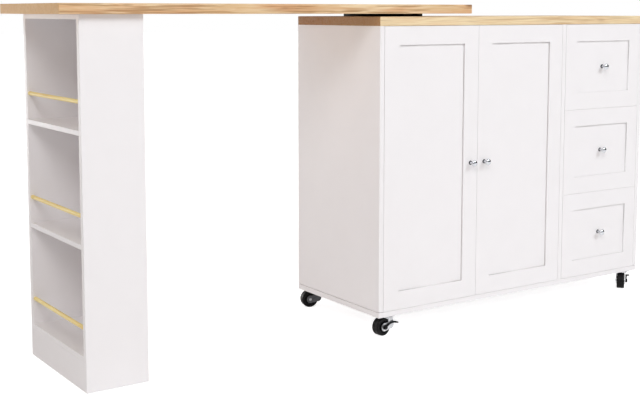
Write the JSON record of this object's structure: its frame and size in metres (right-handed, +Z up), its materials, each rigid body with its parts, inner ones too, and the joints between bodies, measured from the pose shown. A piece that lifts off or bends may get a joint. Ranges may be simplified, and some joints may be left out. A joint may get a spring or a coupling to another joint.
{
  "type": "extendable kitchen island",
  "caption": "White kitchen cabinet on castors with doors and drawers; a second wooden top swings out on a ring turntable and stands on an open shelf tower.",
  "frame": {"origin": "on the floor under the middle of the whole island's box, with the table swung out in line", "axes": "+X along the island from the tower to the cabinet, +Y from the doors to the back, +Z up"},
  "size_m": [1.945, 0.43, 0.914],
  "materials": {
    "white_board": "satin white painted board",
    "top_wood": "oiled butcher-block wood",
    "box_wood": "sanded pale wood",
    "rail_wood": "varnished pine",
    "knob_chrome": "polished",
    "zinc_steel": "bright zinc plated",
    "black_steel": "black powder coat",
    "black_plastic": "moulded black"
  },
  "bodies": {
    "cabinet": {"cabinet_side_left": "white_board", "cabinet_side_right": "white_board", "cabinet_divider": "white_board", "cabinet_bottom": "white_board", "cabinet_back": "white_board", "cabinet_top_rails": "white_board", "worktop": "top_wood", "cabinet_shelf": "white_board", "shelf_pins": "zinc_steel", "fixed_runners": "zinc_steel", "castor_plates": "zinc_steel", "door_catches": "black_plastic", "turntable_base": "black_steel", "turntable_balls": "zinc_steel"},
    "table": {"turntable_rotor": "black_steel", "table_top": "top_wood", "tower_side_front": "white_board", "tower_side_rear": "white_board", "tower_back": "white_board", "tower_top": "white_board", "tower_shelves": "white_board", "tower_bottom": "white_board", "tower_plinth": "white_board", "guard_rails": "rail_wood", "roller_brackets": "zinc_steel"},
    "roller_front": {"roller_front": "black_plastic"},
    "roller_rear": {"roller_rear": "black_plastic"},
    "door_left": {"door_left_frame": "white_board", "door_left_panel": "white_board", "door_left_pivots": "zinc_steel", "door_left_knob": "knob_chrome"},
    "door_right": {"door_right_frame": "white_board", "door_right_panel": "white_board", "door_right_pivots": "zinc_steel", "door_right_knob": "knob_chrome"},
    "drawer_top": {"drawer_top_front": "white_board", "drawer_top_box": "box_wood", "drawer_top_bottom": "box_wood", "drawer_top_runners": "zinc_steel", "drawer_top_knob": "knob_chrome"},
    "drawer_middle": {"drawer_middle_front": "white_board", "drawer_middle_box": "box_wood", "drawer_middle_bottom": "box_wood", "drawer_middle_runners": "zinc_steel", "drawer_middle_knob": "knob_chrome"},
    "drawer_bottom": {"drawer_bottom_front": "white_board", "drawer_bottom_box": "box_wood", "drawer_bottom_bottom": "box_wood", "drawer_bottom_runners": "zinc_steel", "drawer_bottom_knob": "knob_chrome"},
    "castor_fl": {"castor_fork_fl": "zinc_steel"},
    "wheel_fl": {"castor_wheel_fl": "black_plastic"},
    "lever_fl": {"brake_lever_fl": "black_plastic"},
    "castor_fr": {"castor_fork_fr": "zinc_steel"},
    "wheel_fr": {"castor_wheel_fr": "black_plastic"},
    "lever_fr": {"brake_lever_fr": "black_plastic"},
    "castor_rl": {"castor_fork_rl": "zinc_steel"},
    "wheel_rl": {"castor_wheel_rl": "black_plastic"},
    "castor_rr": {"castor_fork_rr": "zinc_steel"},
    "wheel_rr": {"castor_wheel_rr": "black_plastic"}
  },
  "joints": [
    {"name": "table_swing", "type": "hinge", "parent": "cabinet", "child": "table", "pos_m": [0.085, 0.012, 0.885], "axis": [0, 0, -1], "range_deg": [-150, 150]},
    {"name": "roller_front_spin", "type": "hinge", "parent": "table", "child": "roller_front", "pos_m": [-0.8395, -0.121, 0.025], "axis": [1, 0, 0], "continuous": true},
    {"name": "roller_rear_spin", "type": "hinge", "parent": "table", "child": "roller_rear", "pos_m": [-0.8395, 0.145, 0.025], "axis": [1, 0, 0], "continuous": true},
    {"name": "door_left_swing", "type": "hinge", "parent": "cabinet", "child": "door_left", "pos_m": [-0.0455, -0.1865, 0.071], "axis": [0, 0, -1], "range_deg": [0, 90]},
    {"name": "door_right_swing", "type": "hinge", "parent": "cabinet", "child": "door_right", "pos_m": [0.5955, -0.1865, 0.071], "axis": [0, 0, 1], "range_deg": [0, 90]},
    {"name": "drawer_top_slide", "type": "slide", "parent": "cabinet", "child": "drawer_top", "axis": [0, -1, 0], "range_m": [0, 0.27]},
    {"name": "drawer_middle_slide", "type": "slide", "parent": "cabinet", "child": "drawer_middle", "axis": [0, -1, 0], "range_m": [0, 0.27]},
    {"name": "drawer_bottom_slide", "type": "slide", "parent": "cabinet", "child": "drawer_bottom", "axis": [0, -1, 0], "range_m": [0, 0.27]},
    {"name": "castor_fl_swivel", "type": "hinge", "parent": "cabinet", "child": "castor_fl", "pos_m": [-0.0345, -0.167, 0.05], "axis": [0, 0, 1], "continuous": true},
    {"name": "wheel_fl_spin", "type": "hinge", "parent": "castor_fl", "child": "wheel_fl", "pos_m": [-0.05237, -0.16919, 0.025], "axis": [0.1219, -0.9925, 0], "continuous": true},
    {"name": "lever_fl_press", "type": "hinge", "parent": "castor_fl", "child": "lever_fl", "pos_m": [-0.05237, -0.16919, 0.025], "axis": [-0.1219, 0.9925, 0], "range_deg": [0, 20]},
    {"name": "castor_fr_swivel", "type": "hinge", "parent": "cabinet", "child": "castor_fr", "pos_m": [0.9295, -0.167, 0.05], "axis": [0, 0, 1], "continuous": true},
    {"name": "wheel_fr_spin", "type": "hinge", "parent": "castor_fr", "child": "wheel_fr", "pos_m": [0.91571, -0.17857, 0.025], "axis": [0.6428, -0.766, 0], "continuous": true},
    {"name": "lever_fr_press", "type": "hinge", "parent": "castor_fr", "child": "lever_fr", "pos_m": [0.91571, -0.17857, 0.025], "axis": [-0.6428, 0.766, 0], "range_deg": [0, 20]},
    {"name": "castor_rl_swivel", "type": "hinge", "parent": "cabinet", "child": "castor_rl", "pos_m": [-0.0345, 0.191, 0.05], "axis": [0, 0, 1], "continuous": true},
    {"name": "wheel_rl_spin", "type": "hinge", "parent": "castor_rl", "child": "wheel_rl", "pos_m": [-0.05189, 0.19566, 0.025], "axis": [-0.2588, -0.9659, 0], "continuous": true},
    {"name": "castor_rr_swivel", "type": "hinge", "parent": "cabinet", "child": "castor_rr", "pos_m": [0.9295, 0.191, 0.05], "axis": [0, 0, 1], "continuous": true},
    {"name": "wheel_rr_spin", "type": "hinge", "parent": "castor_rr", "child": "wheel_rr", "pos_m": [0.91259, 0.18484, 0.025], "axis": [0.342, -0.9397, 0], "continuous": true}
  ]
}
